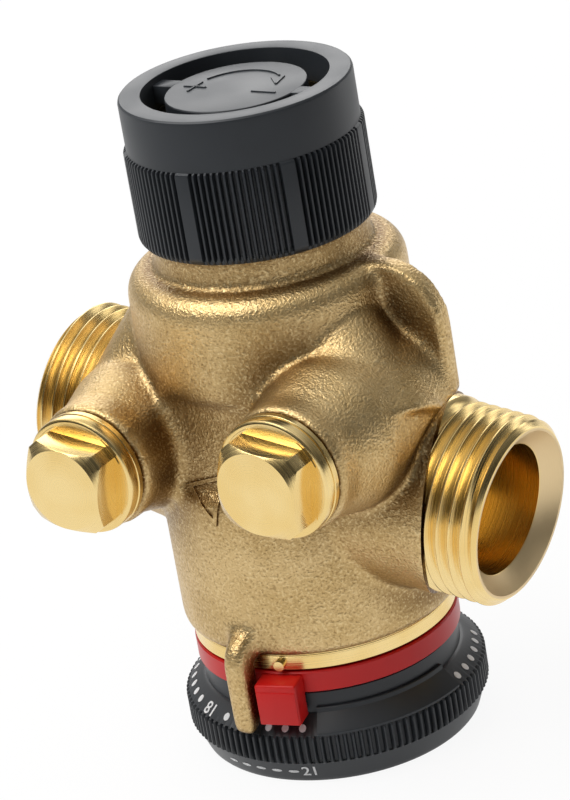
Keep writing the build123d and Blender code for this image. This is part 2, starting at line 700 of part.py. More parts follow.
# Red lock ring with its tab
with BuildPart() as lock_ring:
    turn([(insert_neck_r + seat_fit, lock_ring_z), (lock_ring_r, lock_ring_z),
          (lock_ring_r, lock_ring_z + lock_ring_h), (insert_neck_r + seat_fit, lock_ring_z + lock_ring_h)])
    tab_z = hub_z + lock_tab_clear
    tab_in_r = wheel_cone_r + lock_tab_clear
    with BuildSketch(Plane.XY.offset(tab_z)) as tab:
        with PolarLocations((tab_in_r + lock_tab_r) / 2, 1, start_angle=lock_tab_deg):
            RectangleRounded(lock_tab_r - tab_in_r, lock_tab_w, 0.5)
    extrude(tab.sketch, amount=lock_ring_z + lock_ring_h - 0.2 - tab_z)
    with BuildSketch(Plane.XY.offset(lock_ring_z)) as tab_root:
        with PolarLocations((lock_ring_r + lock_tab_r) / 2 - 1.0, 1, start_angle=lock_tab_deg):
            Rectangle(lock_tab_r - lock_ring_r, lock_tab_w)
    extrude(tab_root.sketch, amount=lock_ring_h - 0.2)
lock_ring.part.label = "lock_ring"

# Bottom insert: collar, neck for the lock ring, spring pocket and spindle bore
skirt_top_z = clamp_ring_z
with BuildPart() as bottom_insert:
    skirt_r = chamber_r - seat_fit
    bore_r = spindle_r + slide_fit
    bottom_seal_z = cast_z + bottom_seal_up
    bottom_groove_r = chamber_r - 2 * seal_r
    spindle_seal_z = insert_floor_z - spindle_seal_down
    turn([(bore_r, nose_z), (insert_nose_r, nose_z), (insert_nose_r, lock_ring_z),
          (insert_neck_r, lock_ring_z), (insert_neck_r, collar_z),
          (collar_r - edge_break, collar_z), (collar_r, collar_z + edge_break),
          (collar_r, cast_z),
          (skirt_r, cast_z), (skirt_r, bottom_seal_z - seal_r), (bottom_groove_r, bottom_seal_z - seal_r),
          (bottom_groove_r, bottom_seal_z + seal_r), (skirt_r, bottom_seal_z + seal_r),
          (skirt_r, skirt_top_z),
          (skirt_r - insert_skirt_wall, skirt_top_z), (skirt_r - insert_skirt_wall, insert_floor_z),
          (bore_r, insert_floor_z), (bore_r, spindle_seal_z + gland_seal_r),
          (bore_r + 2 * gland_seal_r, spindle_seal_z + gland_seal_r),
          (bore_r + 2 * gland_seal_r, spindle_seal_z - gland_seal_r),
          (bore_r, spindle_seal_z - gland_seal_r)])
    # Small peg over the tab
    peg_plane = Plane(origin=(0, 0, collar_z + collar_h / 2), x_dir=(0, 0, 1),
                      z_dir=(cos(radians(lock_tab_deg)), sin(radians(lock_tab_deg)), 0))
    with BuildSketch(peg_plane.offset(collar_r - 1.0)) as peg:
        Circle(peg_r)
    extrude(peg.sketch, amount=1.0 + peg_out)
bottom_insert.part.label = "bottom_insert"

with BuildPart() as bottom_o_ring:
    ring_seal(chamber_r - seal_r, bottom_seal_z, seal_r)
bottom_o_ring.part.label = "bottom_o_ring"

with BuildPart() as spindle_o_ring:
    ring_seal(spindle_r + slide_fit + gland_seal_r, spindle_seal_z, gland_seal_r)
spindle_o_ring.part.label = "spindle_o_ring"

# Diaphragm with one rolled fold, its bead under the clamp ring
fold_out_r = diaphragm_bead_r - 1.0
fold_in_r = fold_out_r - diaphragm_fold_w
with BuildPart() as diaphragm:
    bead_z = chamber_top_z - diaphragm_t
    fold_z = plate_top_z - 1.2
    turn([(piston_hub_r - piston_step, plate_top_z), (fold_in_r, plate_top_z), (fold_in_r, fold_z),
          (fold_out_r - diaphragm_t, fold_z), (fold_out_r - diaphragm_t, bead_z),
          (chamber_r - seat_fit, bead_z),
          (chamber_r - seat_fit, chamber_top_z), (fold_out_r - 2 * diaphragm_t, chamber_top_z),
          (fold_out_r - 2 * diaphragm_t, fold_z + diaphragm_t),
          (fold_in_r + diaphragm_t, fold_z + diaphragm_t),
          (fold_in_r + diaphragm_t, plate_top_z + diaphragm_t),
          (piston_hub_r - piston_step, plate_top_z + diaphragm_t)])
diaphragm.part.label = "diaphragm"

with BuildPart() as clamp_ring:
    turn([(diaphragm_bead_r, clamp_ring_z), (chamber_r - seat_fit, clamp_ring_z),
          (chamber_r - seat_fit, bead_z), (diaphragm_bead_r, bead_z)])
clamp_ring.part.label = "clamp_ring"

# Piston below the diaphragm and regulating cup above it
with BuildPart() as diaphragm_piston:
    turn([(spindle_r + slide_fit, piston_hub_z), (piston_hub_r, piston_hub_z),
          (piston_hub_r, piston_plate_z), (piston_plate_r, piston_plate_z), (piston_plate_r, plate_top_z),
          (piston_hub_r - piston_step, plate_top_z), (piston_hub_r - piston_step, plate_top_z + diaphragm_t),
          (spindle_r + slide_fit, plate_top_z + diaphragm_t)])
diaphragm_piston.part.label = "diaphragm_piston"

cup_z = plate_top_z + diaphragm_t
cup_top_z = ledge_z - cup_gap
with BuildPart() as regulating_cup:
    cup_out_r = ledge_bore_r - slide_fit
    turn([(spindle_r + slide_fit, cup_z), (cup_out_r, cup_z), (cup_out_r, cup_top_z),
          (cup_out_r - cup_wall, cup_top_z), (cup_out_r - cup_wall, cup_z + cup_floor_t),
          (spindle_r + slide_fit, cup_z + cup_floor_t)])
regulating_cup.part.label = "regulating_cup"

with BuildPart() as diaphragm_spring:
    coil(insert_floor_z, piston_plate_z, regulator_spring_r, regulator_wire_r, regulator_turns)
diaphragm_spring.part.label = "diaphragm_spring"


def plug(x, z):
    """A G 1/4 blanking plug: thread, seal groove, flange disc and square head."""
    seal_in_r = plug_thread_r - plug_seal_r
    disc_z0 = boss_face_y
    turn_boss(x, z, [(0, disc_z0 - plug_thread_l), (plug_thread_r - 0.6, disc_z0 - plug_thread_l),
                     (plug_thread_r, disc_z0 - plug_thread_l + 0.6), (plug_thread_r, disc_z0 - 2.4),
                     (seal_in_r, disc_z0 - 1.8), (seal_in_r, disc_z0), (plug_disc_r - edge_break, disc_z0),
                     (plug_disc_r, disc_z0 + edge_break), (plug_disc_r, disc_z0 + 1.0),
                     (plug_disc_r - plug_groove, disc_z0 + 1.2),
                     (plug_disc_r - plug_groove, disc_z0 + plug_disc_t - 1.1),
                     (plug_disc_r - 0.9, disc_z0 + plug_disc_t), (0, disc_z0 + plug_disc_t)])
    # Square head, set level with the pipe, its corners turned off
    head_plane = Plane(origin=(x, -(disc_z0 + plug_disc_t), z), x_dir=pipe_dir, z_dir=(0, -1, 0))
    with BuildSketch(head_plane) as head:
        Rectangle(plug_square, plug_square)
        Circle(plug_corner_r, mode=Mode.INTERSECT)
    extrude(head.sketch, amount=plug_square_h)
    face_out = disc_z0 + plug_disc_t + plug_square_h
    turn_boss(x, z, [(plug_face_r, face_out), (plug_corner_r + 1, face_out),
                     (plug_corner_r + 1, face_out - plug_face_edge)], Mode.SUBTRACT)


with BuildPart() as left_plug:
    plug(left_plug_x, left_plug_z)
left_plug.part.label = "left_plug"

with BuildPart() as right_plug:
    plug(right_plug_x, right_plug_z)
right_plug.part.label = "right_plug"

all_parts = [body, cap, valve_insert, insert_o_ring, gland_nut, gland_o_ring, stem_pin, valve_stem,
             stem_spring, valve_disc, disc_seal, stem_nut, seat_sleeve, seat_o_ring, preset_sleeve, preset_spindle,
             spindle_circlip, handwheel_screw, handwheel, lock_ring, bottom_insert, bottom_o_ring,
             spindle_o_ring, diaphragm, clamp_ring, diaphragm_piston, regulating_cup, diaphragm_spring,
             left_plug, right_plug]
os.makedirs("parts", exist_ok=True)
for piece in all_parts:
    export_step(piece.part, f"parts/{piece.part.label}.step")
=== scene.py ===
import bpy
import json
import numpy as np
from math import cos, sin, radians, pi, atan2
from mathutils import Matrix, Vector


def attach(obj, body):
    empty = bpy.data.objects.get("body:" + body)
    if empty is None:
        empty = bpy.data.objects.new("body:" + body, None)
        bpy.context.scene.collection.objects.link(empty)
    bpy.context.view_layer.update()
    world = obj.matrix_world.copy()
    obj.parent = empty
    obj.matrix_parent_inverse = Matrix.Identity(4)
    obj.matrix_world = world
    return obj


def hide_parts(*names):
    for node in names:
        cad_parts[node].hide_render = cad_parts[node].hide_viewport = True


# Looks of the regulating valve: the casting, turned ports, plugs, cap, setting wheel and lock ring
# are modelled here round the CAD frame. Lengths are written in mm and scaled by MM.
MM = 0.001
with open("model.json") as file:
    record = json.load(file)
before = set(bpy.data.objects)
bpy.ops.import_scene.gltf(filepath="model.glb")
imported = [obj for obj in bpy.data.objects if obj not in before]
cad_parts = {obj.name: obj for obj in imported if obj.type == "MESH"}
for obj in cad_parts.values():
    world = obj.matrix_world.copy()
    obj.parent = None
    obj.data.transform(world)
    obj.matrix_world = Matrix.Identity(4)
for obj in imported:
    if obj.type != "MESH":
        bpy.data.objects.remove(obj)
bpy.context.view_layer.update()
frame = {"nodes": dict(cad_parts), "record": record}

# Places and sizes, as in the part
PIPE_Z = 41.5
TILT = radians(8.7)
PORT_REACH = {1: 35.5, -1: 36.4}
BORE_R = 9.15
PITCH = 1.814
PLUGS = {"right_plug": (16.5, 52.2), "left_plug": (-15.8, 48.9)}
CAP_R = 16.4
CAP_DISC_TOP = 95.4
WHEEL_R = 21.6
TAB_DEG = -76.2

# Sizes of the looks alone
ROOT_OUT = 24.9
ROOT_R = 15.8
# Where each port's root is milled on the pipe axis, and the angle by which that plane leans
MILL = {1: (24.0, -0.285), -1: (25.0, -0.05)}
# The hole along the pipe axis in which the bore and shoulder of a port stand
CORE_R = 11.0
CORE_IN = 17.4
CAST_GRID = 0.5
# The thread's crest: its radius, its place within a pitch, and how far the last one is from the mouth
CREST_R = 13.21
CREST_AT = 1.04
LAST_CREST = 1.3
TURNS = 8
PAD_Z = 28.3
CAMERA_AT = Vector((276.82, -365.76, 244.25)) * MM


# Modelling helpers

def rest():
    """Object mode with nothing selected."""
    if bpy.context.object and bpy.context.object.mode != "OBJECT":
        bpy.ops.object.mode_set(mode="OBJECT")
    bpy.ops.object.select_all(action="DESELECT")


def only(obj):
    """Makes one object the selected and active one."""
    rest()
    obj.select_set(True)
    bpy.context.view_layer.objects.active = obj


def added(name):
    """Names the primitive just added, puts its place into its mesh and goes to edit mode."""
    obj = bpy.context.object
    obj.name = name
    bpy.ops.object.transform_apply(location=True, rotation=True, scale=True)
    bpy.ops.object.mode_set(mode="EDIT")
    bpy.ops.mesh.select_all(action="SELECT")
    return obj


def apply(obj, kind, **settings):
    """Adds a modifier and applies it."""
    only(obj)
    mod = obj.modifiers.new(kind, kind)
    for key, value in settings.items():
        setattr(mod, key, value)
    bpy.ops.object.modifier_apply(modifier=mod.name)


def cut(obj, tool, operation="DIFFERENCE"):
    """Cuts obj by tool, or joins them, and the tool is used up."""
    apply(obj, "BOOLEAN", operation=operation, solver="MANIFOLD", object=tool)
    bpy.data.objects.remove(tool)


def turned(name, points, segments=180, ring=False):
    """A turned piece: a circle at the first (radius, height) point, extruded from ring to ring.
    ring closes the outline on itself, otherwise the two ends are filled."""
    rest()
    r, z = points[0]
    bpy.ops.mesh.primitive_circle_add(vertices=segments, radius=r * MM, location=(0, 0, z * MM))
    obj = added(name)
    for nr, nz in points[1:]:
        bpy.ops.mesh.extrude_edges_move(TRANSFORM_OT_translate={"value": (0, 0, (nz - z) * MM)})
        if abs(nr - r) > 1e-9:
            bpy.ops.transform.resize(value=(nr / r, nr / r, 1), center_override=(0, 0, 0))
        r, z = nr, nz
    bpy.ops.mesh.select_all(action="SELECT")
    bpy.ops.mesh.remove_doubles(threshold=1e-7)
    if not ring:
        bpy.ops.mesh.fill_holes(sides=0)
    bpy.ops.mesh.normals_make_consistent(inside=False)
    rest()
    return obj


def block(name, x, z, long_mm, wide_mm, tall_mm, edge_mm, segments):
    """A block with rounded edges on the X axis."""
    rest()
    bpy.ops.mesh.primitive_cube_add(size=1, location=(x * MM, 0, z * MM),
                                    scale=(long_mm * MM, wide_mm * MM, tall_mm * MM))
    obj = added(name)
    bpy.ops.mesh.bevel(offset=edge_mm * MM, segments=segments, affect="EDGES")
    rest()
    return obj


def points_of(obj):
    """The vertices as an array, in mm."""
    co = np.zeros(len(obj.data.vertices) * 3)
    obj.data.vertices.foreach_get("co", co)
    return co.reshape(-1, 3) / MM


def pick(obj, where):
    """Selects the vertices, and what lies between them, for which where(array in mm) is true."""
    bpy.ops.object.mode_set(mode="OBJECT")
    chosen = where(points_of(obj))
    obj.data.vertices.foreach_set("select", chosen)
    edges = np.zeros(len(obj.data.edges) * 2, dtype=np.int32)
    obj.data.edges.foreach_get("vertices", edges)
    obj.data.edges.foreach_set("select", chosen[edges.reshape(-1, 2)].all(axis=1))
    obj.data.polygons.foreach_set("select", [bool(chosen[list(f.vertices)].all()) for f in obj.data.polygons])
    bpy.ops.object.mode_set(mode="EDIT")


def copy_of(obj):
    """A copy of a piece with its own mesh."""
    new = obj.copy()
    new.data = obj.data.copy()
    bpy.context.scene.collection.objects.link(new)
    return new


def place(obj, matrix):
    """Moves a finished piece by a matrix and puts that into its mesh."""
    only(obj)
    obj.matrix_world = matrix
    bpy.ops.object.transform_apply(location=True, rotation=True, scale=True)
    rest()
    return obj


def finish_piece(obj, body, nodes, material, angle=30):
    """Smooth shading below an angle, its material, the body it rides on and the nodes it stands for."""
    only(obj)
    bpy.ops.object.shade_smooth_by_angle(angle=radians(angle))
    rest()
    obj.data.materials.clear()
    obj.data.materials.append(material)
    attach(obj, body)
    if nodes:
        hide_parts(*nodes)
    return obj


def pipe_frame(side):
    """The matrix that stands local +Z out of the right (1) or left (-1) port."""
    out = Vector((side * cos(TILT), 0, -side * sin(TILT)))
    across = Vector((0, 1, 0))
    turn = Matrix((across.cross(out), across, out)).transposed()
    return Matrix.Translation((0, 0, PIPE_Z * MM)) @ turn.to_4x4()


def plug_frame(x, z):
    """The matrix that stands local +Z out to the front on a plug's axis, level with the pipe."""
    along = Vector((cos(TILT), 0, -sin(TILT)))
    out = Vector((0, -1, 0))
    turn = Matrix((along, out.cross(along), out)).transposed()
    return Matrix.Translation((x * MM, 0, z * MM)) @ turn.to_4x4()


# Materials

class Num:
    """A number in a material's nodes, with the usual arithmetic."""

    def __init__(self, mat, socket):
        self.mat = mat
        self.socket = socket

    def sum(self, operation, *others):
        return self.mat.node("ShaderNodeMath", {0: self, **{i + 1: o for i, o in enumerate(others)}},
                             operation=operation)

    def flip(self, operation, other):
        return self.mat.node("ShaderNodeMath", {0: other, 1: self}, operation=operation)

    def __add__(self, other):
        return self.sum("ADD", other)

    def __sub__(self, other):
        return self.sum("SUBTRACT", other)

    def __mul__(self, other):
        return self.sum("MULTIPLY", other)

    def __truediv__(self, other):
        return self.sum("DIVIDE", other)

    def __radd__(self, other):
        return self.flip("ADD", other)

    def __rsub__(self, other):
        return self.flip("SUBTRACT", other)

    def __rmul__(self, other):
        return self.flip("MULTIPLY", other)

    def __rtruediv__(self, other):
        return self.flip("DIVIDE", other)


class Look:
    """A node material or world under construction."""

    def __init__(self, data):
        self.data = data
        data.use_nodes = True
        self.tree = data.node_tree
        self.shader = self.tree.nodes.get("Principled BSDF")

    def put(self, socket, value):
        if isinstance(value, Num):
            self.tree.links.new(value.socket, socket)
        elif isinstance(value, tuple) and len(value) == 3 and socket.type == "RGBA":
            socket.default_value = (*value, 1)
        else:
            socket.default_value = value

    def node(self, kind, inputs=None, output=0, **settings):
        made = self.tree.nodes.new(kind)
        for key, value in settings.items():
            setattr(made, key, value)
        for key, value in (inputs or {}).items():
            self.put(made.inputs[key], value)
        return Num(self, made.outputs[output])

    def set(self, **inputs):
        for key, value in inputs.items():
            self.put(self.shader.inputs[key.replace("_", " ")], value)

    def coords(self):
        return self.node("ShaderNodeTexCoord", output="Object")

    def axes(self, vector):
        split = self.node("ShaderNodeSeparateXYZ", {0: vector})
        outs = split.socket.node.outputs
        return [Num(self, outs[i]) for i in range(3)]

    def noise(self, where, size_mm, detail=2.0, roughness=0.5):
        return self.node("ShaderNodeTexNoise", {"Vector": where, "Scale": 1000 / size_mm, "Detail": detail,
                                                "Roughness": roughness})

    def ease(self, value, low, high, to_low=0.0, to_high=1.0):
        return self.node("ShaderNodeMapRange", {"Value": value, "From Min": low, "From Max": high,
                                                "To Min": to_low, "To Max": to_high},
                         interpolation_type="SMOOTHSTEP")

    def mix(self, share, a, b):
        made = self.tree.nodes.new("ShaderNodeMix")
        made.data_type = "RGBA"
        self.put(made.inputs["Factor"], share)
        self.put(made.inputs[6], a)
        self.put(made.inputs[7], b)
        return Num(self, made.outputs[2])

    def bump(self, height, distance_mm, strength=1.0):
        return self.node("ShaderNodeBump", {"Height": height, "Distance": distance_mm * MM,
                                            "Strength": strength})

    def lines(self, along, detail):
        """Fine lines across one coordinate, as a tool leaves them."""
        return self.node("ShaderNodeTexNoise", {"W": along, "Scale": 1.0, "Detail": detail},
                         noise_dimensions="1D")


def cast_brass():
    """Blasted sand casting: sparkling grain over broad mottling, with painted shade making it browner in the
    hollows.
    """
    look = Look(bpy.data.materials.new("cast brass"))
    at = look.coords()
    grain = look.noise(at, 0.38, 2.0, 0.55)
    lumps = look.noise(at, 1.6, 2.0, 0.5)
    broad = look.noise(at, 8.0, 3.0, 0.55)
    spark = look.ease(grain, 0.52, 0.68)
    pits = look.ease(grain, 0.44, 0.30)
    # Painted shade: where ambient occlusion finds a hollow, the base colour is darkened to deep brown
    open_air = look.node("ShaderNodeAmbientOcclusion", {"Distance": 14 * MM}, output="AO", samples=8)
    painted_shade = look.ease(open_air, 0.54, 0.97)
    tone = look.mix(look.ease(broad, 0.35, 0.65), (0.60, 0.415, 0.180), (0.69, 0.495, 0.235))
    tone = look.mix(painted_shade, (0.15, 0.075, 0.02), tone)
    tone = look.mix(spark * 0.35, tone, (0.90, 0.72, 0.40))
    tone = look.mix(pits * 0.4, tone, (0.20, 0.11, 0.035))
    look.set(Base_Color=tone, Metallic=0.95, Roughness=look.ease(grain, 0.3, 0.7, 0.48, 0.30),
             Normal=look.bump(grain + lumps * 0.3 + broad * 0.8, 0.15, 1.0))
    return look.data


def turned_brass(name, axis_frame, face_out=None):
    """Bright turned brass with fine lathe lines round an axis. face_out is the port's mouth along that
    axis in mm: its cone is matt and pale, and the bore behind it a little deeper in colour."""
    look = Look(bpy.data.materials.new(name))
    at = look.coords()
    inv = axis_frame.inverted()
    local = look.node("ShaderNodeMapping", {"Vector": at, "Location": tuple(inv.translation),
                                            "Rotation": tuple(inv.to_euler())})
    x, y, z = look.axes(local)
    radius = look.node("ShaderNodeMath", {0: x * x + y * y}, operation="SQRT")
    lines = look.lines(radius * 9000 + z * 5200, 2.0)
    broad = look.noise(at, 9.0, 2.0)
    tone = look.mix(look.ease(broad, 0.3, 0.7), (0.84, 0.60, 0.23), (0.90, 0.69, 0.32))
    rough = look.ease(lines, 0.3, 0.7, 0.19, 0.30)
    if face_out:
        inside = look.ease(radius, 11.95 * MM, 11.75 * MM)
        cone = inside * look.ease(z, (face_out - 2.3) * MM, (face_out - 2.1) * MM)
        bore = inside * look.ease(z, (face_out - 2.1) * MM, (face_out - 2.3) * MM)
        tone = look.mix(cone, tone, (0.80, 0.62, 0.36))
        tone = look.mix(bore, tone, (0.86, 0.63, 0.25))
        rough = rough + cone * 0.24
    look.set(Base_Color=tone, Metallic=1.0, Roughness=rough, Normal=look.bump(lines, 0.012, 0.6))
    return look.data


def plastic(name, tone, dark, rough, grain_mm=0.25, coat=0.0, shine=0.5):
    """Moulded plastic with a fine surface grain and slight shading."""
    look = Look(bpy.data.materials.new(name))
    at = look.coords()
    grain = look.noise(at, grain_mm, 2.0)
    broad = look.noise(at, 12.0, 2.0)
    colour = look.mix(look.ease(broad, 0.3, 0.7), dark, tone)
    look.set(Base_Color=colour, Roughness=look.ease(broad, 0.3, 0.7, rough - 0.05, rough + 0.05),
             Coat_Weight=coat, Specular_IOR_Level=shine, Normal=look.bump(grain, 0.012, 0.5))
    return look.data


def plain_metal(name, light, dark, rough):
    """Drawn or ground metal with fine streaks along Z."""
    look = Look(bpy.data.materials.new(name))
    streaks = look.lines(look.axes(look.coords())[2] * 4000, 3.0)
    look.set(Base_Color=look.mix(streaks, dark, light), Metallic=1.0,
             Roughness=look.ease(streaks, 0.3, 0.7, rough, rough + 0.12),
             Normal=look.bump(streaks, 0.01, 0.5))
    return look.data


upright = Matrix.Identity(4)
CAST = cast_brass()
TURNED = turned_brass("turned brass", upright)
PORT = {side: turned_brass(f"port brass {side}", pipe_frame(side), PORT_REACH[side]) for side in (1, -1)}
PLUG = {name: turned_brass(f"{name} brass", plug_frame(*at)) for name, at in PLUGS.items()}
ANTHRACITE = plastic("anthracite plastic", (0.026, 0.030, 0.035), (0.019, 0.022, 0.026), 0.40, shine=0.42)
RED = plastic("red plastic", (0.66, 0.010, 0.008), (0.56, 0.006, 0.006), 0.36, shine=0.35)
PRINT = plastic("white print", (0.84, 0.85, 0.86), (0.76, 0.77, 0.78), 0.5)
INNER = plastic("inner plastic", (0.72, 0.71, 0.66), (0.64, 0.63, 0.58), 0.45)
STEEL = plain_metal("steel", (0.64, 0.64, 0.62), (0.50, 0.50, 0.49), 0.24)
RUBBER = plastic("rubber", (0.022, 0.022, 0.022), (0.016, 0.016, 0.016), 0.62, grain_mm=0.4)

by_slot = {"cast_brass": CAST, "turned_brass": TURNED, "anthracite_plastic": ANTHRACITE, "red_plastic": RED,
           "inner_plastic": INNER, "steel": STEEL, "rubber": RUBBER}
for entry in frame["record"]["subparts"]:
    node = frame["nodes"][entry["node"]]
    for index in range(len(node.material_slots)):
        node.material_slots[index].material = by_slot[entry["material_slot"]]


# The casting: a copy of the CAD body, its ports cut away, remeshed and smoothed to cast blends

def port_tool(side, points):
    """A turned cutting tool on a port's axis."""
    return place(turned("tool", points, 96), pipe_frame(side))


rest()
casting = copy_of(frame["nodes"]["body"])
for key in list(casting.keys()):
    del casting[key]
casting.parent = None
casting.name = "casting"
only(casting)
bpy.ops.object.mode_set(mode="EDIT")
bpy.ops.mesh.select_all(action="SELECT")
bpy.ops.mesh.remove_doubles(threshold=2e-6)
for side in (1, -1):
    cut(casting, port_tool(side, [(ROOT_R, ROOT_OUT), (ROOT_R, 40.0)]))
    cut(casting, port_tool(side, [(10.3, CORE_IN), (10.3, 30.0)]))
    # The horn runs on a little, so that its end can be milled crisp after the smoothing
    cut(casting, port_tool(side, [(13.6, 21.0), (13.7, 28.4)]), "UNION")
apply(casting, "REMESH", mode="VOXEL", voxel_size=CAST_GRID * MM, adaptivity=0.0)
apply(casting, "SMOOTH", factor=0.5, iterations=14)
# Chambers freshened so that the moving pieces clear them
cut(casting, turned("tool", [(16.4, 18.0), (16.4, 36.1), (8.15, 36.15), (8.15, 39.0), (9.1, 39.05),
                             (9.1, 53.0), (11.1, 53.05), (11.1, 63.0), (12.65, 63.05), (12.65, 79.0)], 96))
# The root of each port is milled on a plane that leans: nearer at the back than at the front
for side in (1, -1):
    out, lean = MILL[side]
    mill = Matrix.Translation((0, 0, out * MM)) @ Matrix.Rotation(lean, 4, "X")
    cut(casting, place(turned("tool", [(ROOT_R, 0.0), (ROOT_R, 16.0)], 96), pipe_frame(side) @ mill))
    cut(casting, port_tool(side, [(CORE_R, CORE_IN), (CORE_R, 30.0)]))
# The guard lug and the waist between the plugs are rounder than the rest of the casting
only(casting)
pick(casting, lambda p: (np.abs(p[:, 0] + 0.2) < 3.4) & (p[:, 1] < -19.9) & (p[:, 2] < 25.0))
bpy.ops.mesh.vertices_smooth(factor=0.5, repeat=16)
pick(casting, lambda p: (np.abs(p[:, 0]) < 9.0) & (p[:, 1] < -13.0) & (p[:, 2] > 36.0) & (p[:, 2] < 60.0))
bpy.ops.mesh.vertices_smooth(factor=0.5, repeat=24)
finish_piece(casting, "root", ["body"], CAST, 60)


# Flow triangle cast on the waist between the plugs
rest()
bpy.ops.mesh.primitive_circle_add(vertices=3, radius=4.2 * MM, fill_type="NGON")
triangle = added("flow_triangle")
bpy.ops.mesh.inset(thickness=0.6 * MM, depth=0)
bpy.ops.mesh.delete(type="FACE")
bpy.ops.mesh.select_all(action="SELECT")
bpy.ops.mesh.subdivide(number_cuts=11)
rest()
place(triangle, Matrix.Translation((-2.1 * MM, -24 * MM, 43.2 * MM)) @ Matrix.Rotation(pi / 2, 4, "X")
      @ Matrix.Rotation(radians(77), 4, "Z"))
apply(triangle, "SHRINKWRAP", target=casting, wrap_method="PROJECT", use_project_y=True,
      use_positive_direction=True, use_negative_direction=True, offset=0.05 * MM)
apply(triangle, "SOLIDIFY", thickness=0.4 * MM, offset=0)
apply(triangle, "BEVEL", width=0.1 * MM, segments=2, limit_method="ANGLE", angle_limit=radians(40))
finish_piece(triangle, "root", [], CAST, 60)


# Ports: screwed thread, end chamfer, mouth cone, bore and machined shoulder

def strip(name, points):
    """An open line through (radius, height) points, drawn by extruding one vertex."""
    rest()
    x, z = points[0]
    bpy.ops.mesh.primitive_plane_add(size=0.1 * MM, location=(x * MM, 0, z * MM))
    obj = added(name)
    bpy.ops.mesh.merge(type="CENTER")
    for nx, nz in points[1:]:
        step_on = ((nx - x) * MM, 0, (nz - z) * MM)
        bpy.ops.mesh.extrude_vertices_move(TRANSFORM_OT_translate={"value": step_on})
        x, z = nx, nz
    rest()
    return obj


# One length of thread for both ports, cut square at its ends
screwed = strip("thread", [(12.16, 0), (12.08, 0.12), (12.16, 0.24), (13.10, 0.90), (13.18, 0.95),
                           (CREST_R, CREST_AT), (13.18, 1.13), (13.10, 1.18), (12.16, PITCH)])
apply(screwed, "SCREW", angle=2 * pi, screw_offset=PITCH * MM, iterations=TURNS, steps=120, render_steps=120,
      use_merge_vertices=True, merge_threshold=1e-6)
only(screwed)
bpy.ops.object.mode_set(mode="EDIT")
bpy.ops.mesh.select_all(action="SELECT")
bpy.ops.mesh.remove_doubles(threshold=1e-6)
for height, outer in ((PITCH * 1.01, False), (PITCH * (TURNS - 0.01), True)):
    bpy.ops.mesh.select_all(action="SELECT")
    bpy.ops.mesh.bisect(plane_co=(0, 0, height * MM), plane_no=(0, 0, 1), use_fill=True,
                        clear_outer=outer, clear_inner=not outer, threshold=1e-7)
bpy.ops.mesh.select_all(action="SELECT")
bpy.ops.mesh.normals_make_consistent(inside=False)
rest()

for side in (1, -1):
    reach = PORT_REACH[side]
    thread = copy_of(screwed)
    start = reach - LAST_CREST - CREST_AT - PITCH * (TURNS - 2)
    place(thread, Matrix.Translation((0, 0, start * MM)))
    cut(thread, turned("tool", [(12.3, 24.6), (12.3, 24.9), (13.25, 25.6), (13.25, reach - 1.25),
                                (12.1, reach - 0.06), (12.0, reach)]), "INTERSECT")
    cut(thread, turned("tool", [(BORE_R, 20.0), (BORE_R, reach - 2.25), (11.5, reach - 0.05),
                                (11.6, reach + 0.3)]))
    bore = turned("bore", [(BORE_R, 25.4), (BORE_R, 19.2), (8.9, 19.0), (0.4, 17.7), (0.4, 17.0),
                           (10.9, 17.0), (10.9, 25.4), (BORE_R, 25.4)], ring=True)
    shoulder = turned("shoulder", [(11.05, 19.4), (13.5, 19.4), (13.5, 23.6), (13.4, 23.9), (12.75, 24.6),
                                   (12.35, 24.85), (12.2, 25.1), (11.05, 25.1), (11.05, 19.4)], ring=True)
    for obj, name, angle in ((thread, "port_thread", 35), (bore, "port_bore", 30),
                             (shoulder, "port_shoulder", 30)):
        place(obj, pipe_frame(side))
        obj.name = f"{name}_{side}"
        finish_piece(obj, "root", ["body"], PORT[side], angle)
bpy.data.objects.remove(screwed)


# Blanking plugs: turned flange with a milled pad, and square head with turned face and cut corners
flange = turned("flange", [(5.9, 16.4), (6.5, 17.0), (6.5, 23.0), (5.9, 23.6), (5.9, 25.0), (7.9, 25.0),
                           (7.9, 25.5), (8.35, 25.52), (8.5, 25.65), (8.5, 26.35), (8.38, 26.45), (8.2, 26.5),
                           (8.2, 26.62), (8.38, 26.7), (8.5, 26.8), (8.5, 27.85), (8.42, 28.08), (8.2, 28.26),
                           (8.0, PAD_Z), (5.2, PAD_Z)])
rest()
bpy.ops.mesh.primitive_cube_add(size=1, location=(0, 0, PAD_Z * MM), scale=(13.4 * MM, 13.4 * MM, 0.24 * MM))
pad = added("pad")
rest()
cut(pad, turned("tool", [(7.75, 28.0), (7.75, 28.38), (7.7, 28.42), (7.6, 28.6)], 160), "INTERSECT")
cut(flange, pad, "UNION")
rest()
bpy.ops.mesh.primitive_cube_add(size=1, location=(0, 0, 30.4 * MM), scale=(11.8 * MM, 11.8 * MM, 4.4 * MM))
square_head = added("square_head")
bpy.ops.mesh.select_mode(type="EDGE")
bpy.ops.mesh.select_all(action="DESELECT")
bpy.ops.object.mode_set(mode="OBJECT")
for edge in square_head.data.edges:
    a, b = (square_head.data.vertices[v].co for v in edge.vertices)
    edge.select = abs(a.z - b.z) > 1 * MM
bpy.ops.object.mode_set(mode="EDIT")
bpy.ops.mesh.bevel(offset=1.35 * MM, segments=1, affect="EDGES")
bpy.ops.mesh.select_mode(type="VERT")
rest()
cut(square_head, turned("tool", [(9.5, 28.0), (9.5, 30.2), (5.95, 32.5), (5.85, 32.6)], 160), "INTERSECT")
apply(square_head, "BEVEL", width=0.09 * MM, segments=2, limit_method="ANGLE", angle_limit=radians(20))
for name, (x, z) in PLUGS.items():
    for shape, ending, angle in ((flange, "", 30), (square_head, "_head", 25)):
        obj = place(copy_of(shape), plug_frame(x, z))
        obj.name = name + ending
        finish_piece(obj, "root", [name], PLUG[name], angle)
bpy.data.objects.remove(flange)
